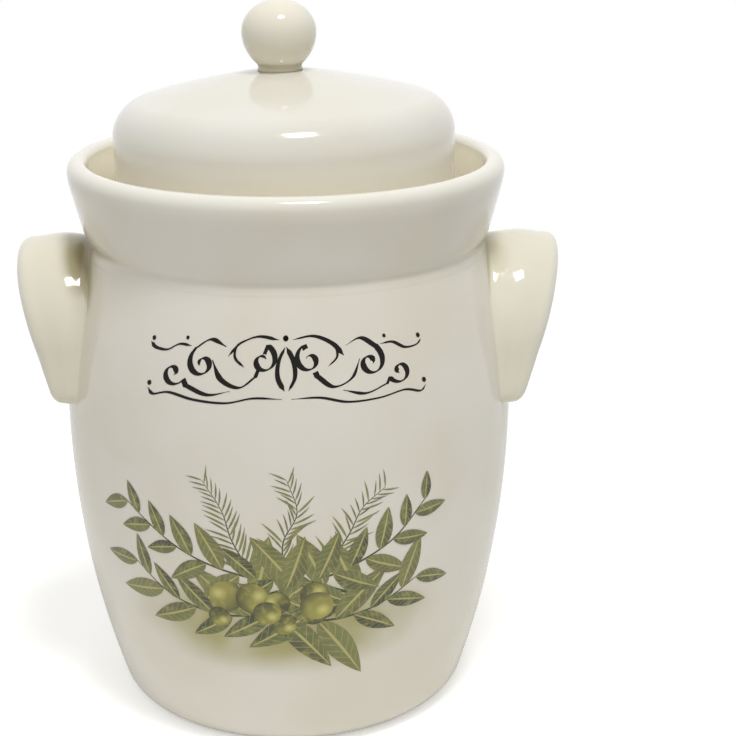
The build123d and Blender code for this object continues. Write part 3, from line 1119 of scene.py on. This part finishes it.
# Each branch's stem, form, ink, number of leaves, spread, tip size, seed, layer and overlap
branch("printed_sprig_1", sprig_one, needle, leaf_green, 34, 0.75, 0.6, 11, 1, 0.2)
branch("printed_sprig_2", sprig_two, needle, leaf_green, 34, 0.7, 0.6, 12, 1, 0.2)
branch("printed_sprig_3", sprig_three, needle, leaf_green, 30, 0.8, 0.6, 13, 1, 0.2)
branch("printed_leaves_1", stem_left, broad_leaf, leaf_green, 16, 0.75, 0.6, 3, 3)
branch("printed_leaves_2", stem_right, broad_leaf, leaf_green, 14, 0.8, 0.6, 5, 4)
branch("printed_leaves_3", stem_low_left, long_leaf, leaf_green, 12, 0.65, 0.55, 7, 5)
branch("printed_leaves_4", stem_low_right, long_leaf, leaf_green, 9, 0.7, 0.6, 9, 6)
cluster = [(-30, 84), (-17, 91), (-20, 76), (-5, 83), (8, 90), (6, 75), (-8, 70), (20, 81), (-34, 73)]
branch("printed_fruits", cluster, berry, fruit_green, 9, 0.0, 0.85, 21, 18)


# Stage, light and camera, in metres and degrees
lamp_aim = Vector((0, 0, 0.2))
paper_half = 6.0
paper_fade = (0.3, 0.8)
paper_lift = 0.36
studio_strength = 0.71
camera_place = Vector((0, -0.7527, 0.4038))
camera_yaw = 2.85
camera_pitch = 18.2
camera_lens = 80.74
camera_sensor = 36


def lamp(name, azimuth, elevation, distance, size, power):
    """A softbox that looks at the jar's middle. Azimuth is to the camera's right of the front."""
    data = bpy.data.lights.new(name, "AREA")
    data.shape = "RECTANGLE"
    data.size, data.size_y = size
    data.energy = power
    lit = linked(name, data)
    a, e = math.radians(azimuth), math.radians(elevation)
    way = Vector((math.sin(a) * math.cos(e), -math.cos(a) * math.cos(e), math.sin(e)))
    lit.location = way * distance + lamp_aim
    lit.rotation_euler = way.to_track_quat("Z", "Y").to_euler()
    return lit


def paper_floor():
    """The white paper sweep that the jar stands on."""
    mesh = bpy.data.meshes.new("paper_floor")
    r = paper_half
    mesh.from_pydata([(-r, -r, 0), (r, -r, 0), (r, r, 0), (-r, r, 0)], [], [(0, 1, 2, 3)])
    floor = linked("paper_floor", mesh)
    material, tree, place = new_material("white_paper")
    # The paper looks blown out to the camera, keeps the jar's shadow, and runs into the white behind
    seen = add_node(tree, "ShaderNodeLightPath").outputs["Is Camera Ray"]
    paper = {
        "Base Color": linear("#F6F6F4"),
        "Roughness": 0.9,
        "Specular IOR Level": 0.0,
        "Emission Color": (1, 1, 1, 1),
        "Emission Strength": add_node(tree, "ShaderNodeMath", {0: seen, 1: paper_lift}, operation="MULTIPLY"),
    }
    surface = add_node(tree, "ShaderNodeBsdfPrincipled", paper)
    far = add_node(tree, "ShaderNodeVectorMath", {0: place}, operation="LENGTH")
    near, past = paper_fade
    fade = add_node(tree, "ShaderNodeMapRange", {"Value": far, "From Min": near, "From Max": past}, **SMOOTH)
    clear = add_node(tree, "ShaderNodeBsdfTransparent")
    edge = add_node(tree, "ShaderNodeMixShader", {0: fade, 1: surface, 2: clear})
    add_node(tree, "ShaderNodeOutputMaterial", {"Surface": edge})
    floor.data.materials.append(material)


def white_world():
    """White for the camera, and for the jar a studio that is brighter above than below."""
    world = bpy.data.worlds.new("studio")
    world.use_nodes = True
    tree = world.node_tree
    tree.nodes.clear()
    way = add_node(tree, "ShaderNodeTexCoord").outputs["Generated"]
    height = add_node(tree, "ShaderNodeSeparateXYZ", {"Vector": way}).outputs["Z"]
    shade = tinted(tree, linear("#9B9B99"), height, -0.1, 1.0, "#FFFFFF")
    light = add_node(tree, "ShaderNodeBackground", {"Color": shade, "Strength": studio_strength})
    white = add_node(tree, "ShaderNodeBackground", {"Color": (1, 1, 1, 1), "Strength": 1.0})
    path = add_node(tree, "ShaderNodeLightPath").outputs
    rays = {0: path["Is Camera Ray"], 1: path["Is Glossy Ray"]}
    seen = add_node(tree, "ShaderNodeMath", rays, operation="MAXIMUM")
    mixed = add_node(tree, "ShaderNodeMixShader", {0: seen, 1: light, 2: white})
    add_node(tree, "ShaderNodeOutputWorld", {"Surface": mixed})
    bpy.context.scene.world = world


paper_floor()
white_world()
lamp("key_softbox", 17, 70, 2.2, (0.5, 0.42), 20)
fill = lamp("front_fill", -12, 34, 3.0, (1.6, 1.6), 10)
fill.visible_glossy = False

camera_data = bpy.data.cameras.new("camera")
camera_data.lens = camera_lens
camera_data.sensor_width = camera_sensor
camera = linked("camera", camera_data)
yaw, pitch = math.radians(camera_yaw), math.radians(camera_pitch)
ahead = Vector((math.sin(yaw) * math.cos(pitch), math.cos(yaw) * math.cos(pitch), -math.sin(pitch)))
right = Vector((math.cos(yaw), -math.sin(yaw), 0))
turn = Matrix((right, right.cross(ahead), -ahead)).transposed()
camera.matrix_world = Matrix.Translation(camera_place) @ turn.to_4x4()
bpy.context.scene.camera = camera
bpy.context.scene.view_settings.view_transform = "Standard"
